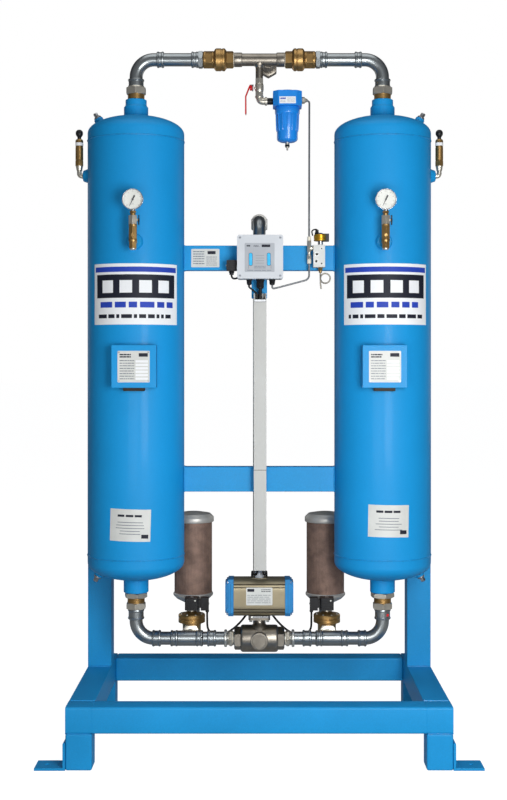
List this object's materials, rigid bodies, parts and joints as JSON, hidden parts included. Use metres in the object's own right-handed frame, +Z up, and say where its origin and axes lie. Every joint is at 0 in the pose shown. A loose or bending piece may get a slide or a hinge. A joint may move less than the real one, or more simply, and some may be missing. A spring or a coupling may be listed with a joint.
{
  "type": "twin-tower desiccant air dryer",
  "caption": "Twin-tower desiccant compressed-air dryer: two tall vessels on a welded base, with top and bottom pipe manifolds, a switching valve, exhaust silencers and a control box.",
  "frame": {"origin": "centre of the footprint, on the floor", "axes": "+Z up, -Y is the front with the gauges and the control box, +X to the right seen from the front"},
  "size_m": [1.35, 0.72, 2.2335],
  "materials": {
    "frame_paint": "gloss",
    "desiccant": "matte",
    "press_steel": "polished",
    "stainless": "satin",
    "brass": "satin",
    "nickel": "polished",
    "red_plastic": "gloss",
    "filter_paint": "gloss",
    "filter_media": "matte",
    "rotor_steel": "satin",
    "anodised_body": "satin",
    "cap_paint": "satin",
    "piston_alloy": "satin",
    "silencer_mesh": "matte",
    "gauge_case": "polished",
    "black_plastic": "satin",
    "box_plastic": "satin",
    "board": "satin",
    "trunking_plastic": "satin",
    "tubing": "satin",
    "cable": "satin"
  },
  "bodies": {
    "dryer": {"front_beam": "frame_paint", "rear_beam": "frame_paint", "crossbeam_upper": "frame_paint", "crossbeam_lower": "frame_paint", "side_frame_left": "frame_paint", "side_frame_right": "frame_paint", "foot_front_left": "frame_paint", "foot_front_right": "frame_paint", "foot_rear_left": "frame_paint", "foot_rear_right": "frame_paint", "tower_left": "frame_paint", "tower_right": "frame_paint", "desiccant_bed_left": "desiccant", "desiccant_bed_right": "desiccant", "top_elbow_left": "press_steel", "top_elbow_right": "press_steel", "bottom_elbow_left": "press_steel", "bottom_elbow_right": "press_steel", "inlet_riser": "press_steel", "outlet_manifold": "stainless", "switching_valve_body": "stainless", "pigtail_tube": "stainless", "check_valve_left": "brass", "check_valve_right": "brass", "exhaust_valve_left": "brass", "exhaust_valve_right": "brass", "relief_valve_left": "brass", "relief_valve_right": "brass", "pilot_ball_valve": "nickel", "solenoid_valve": "nickel", "filter_head": "filter_paint", "filter_bowl": "filter_paint", "filter_element": "filter_media", "actuator_body": "anodised_body", "actuator_cap_left": "cap_paint", "actuator_cap_right": "cap_paint", "silencer_left": "silencer_mesh", "silencer_right": "silencer_mesh", "gauge_left": "gauge_case", "gauge_right": "gauge_case", "connector_plug": "black_plastic", "control_box": "box_plastic", "control_box_lid": "box_plastic", "control_board": "board", "trunking": "trunking_plastic", "pilot_tube": "tubing", "signal_tube": "tubing", "coil_cable_left": "cable", "coil_cable_right": "cable"},
    "pilot_lever": {"pilot_valve_lever": "red_plastic"},
    "rotor": {"valve_ball": "rotor_steel", "actuator_pinion": "rotor_steel"},
    "left_piston": {"piston_left": "piston_alloy"},
    "right_piston": {"piston_right": "piston_alloy"},
    "left_needle": {"gauge_needle_left": "black_plastic"},
    "left_cock": {"gauge_cock_lever_left": "black_plastic"},
    "left_knob": {"relief_knob_left": "black_plastic"},
    "right_needle": {"gauge_needle_right": "black_plastic"},
    "right_cock": {"gauge_cock_lever_right": "black_plastic"},
    "right_knob": {"relief_knob_right": "black_plastic"}
  },
  "joints": [
    {"name": "pilot_lever_turn", "type": "hinge", "parent": "dryer", "child": "pilot_lever", "pos_m": [-0.02, -0.06, 2.106], "axis": [-1, 0, 0], "range_deg": [0, 90]},
    {"name": "rotor_turn", "type": "hinge", "parent": "dryer", "child": "rotor", "pos_m": [0, -0.06, 0.4695], "axis": [0, 0, 1], "range_deg": [0, 90]},
    {"name": "left_piston_slide", "type": "slide", "parent": "dryer", "child": "left_piston", "axis": [-1, 0, 0], "range_m": [0, 0.022]},
    {"name": "right_piston_slide", "type": "slide", "parent": "dryer", "child": "right_piston", "axis": [1, 0, 0], "range_m": [0, 0.022]},
    {"name": "left_needle_turn", "type": "hinge", "parent": "dryer", "child": "left_needle", "pos_m": [-0.387, -0.28, 1.721], "axis": [0, 1, 0], "range_deg": [0, 290]},
    {"name": "left_cock_turn", "type": "hinge", "parent": "dryer", "child": "left_cock", "pos_m": [-0.3715, -0.27, 1.6585], "axis": [1, 0, 0], "range_deg": [0, 90]},
    {"name": "left_knob_lift", "type": "slide", "parent": "dryer", "child": "left_knob", "axis": [0, 0, 1], "range_m": [0, 0.003], "stiffness_N_per_m": 2000},
    {"name": "right_needle_turn", "type": "hinge", "parent": "dryer", "child": "right_needle", "pos_m": [0.387, -0.28, 1.721], "axis": [0, 1, 0], "range_deg": [0, 290]},
    {"name": "right_cock_turn", "type": "hinge", "parent": "dryer", "child": "right_cock", "pos_m": [0.4025, -0.27, 1.6585], "axis": [1, 0, 0], "range_deg": [0, 90]},
    {"name": "right_knob_lift", "type": "slide", "parent": "dryer", "child": "right_knob", "axis": [0, 0, 1], "range_m": [0, 0.003], "stiffness_N_per_m": 2000}
  ],
  "couplings": [
    {"joint": "left_piston_slide", "follows": "rotor_turn", "m_per_rad": 0.014},
    {"joint": "right_piston_slide", "follows": "rotor_turn", "m_per_rad": 0.014}
  ]
}
